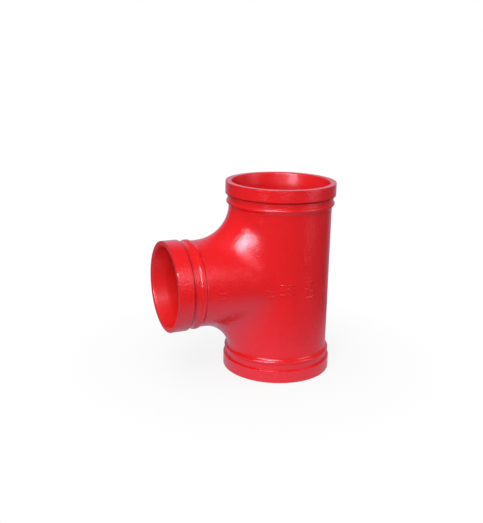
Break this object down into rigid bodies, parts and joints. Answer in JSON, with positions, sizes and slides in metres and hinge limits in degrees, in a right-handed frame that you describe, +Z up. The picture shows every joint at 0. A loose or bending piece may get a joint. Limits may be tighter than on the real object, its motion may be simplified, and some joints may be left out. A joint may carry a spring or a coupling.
{
  "type": "grooved reducing tee",
  "caption": "Cast iron pipe tee with grooved, beaded ends: an upright run with a smaller branch blended into its side, painted red all over.",
  "frame": {"origin": "centre of the run's lower end face, on the run's axis", "axes": "+Z up the run's axis, -X out along the branch, which is at mid height; Y is across"},
  "size_m": [0.2273, 0.1412, 0.248],
  "materials": {
    "red_paint": "semi-gloss paint over a sand-cast surface"
  },
  "bodies": {
    "root": {"tee_casting": "red_paint"}
  },
  "joints": []
}
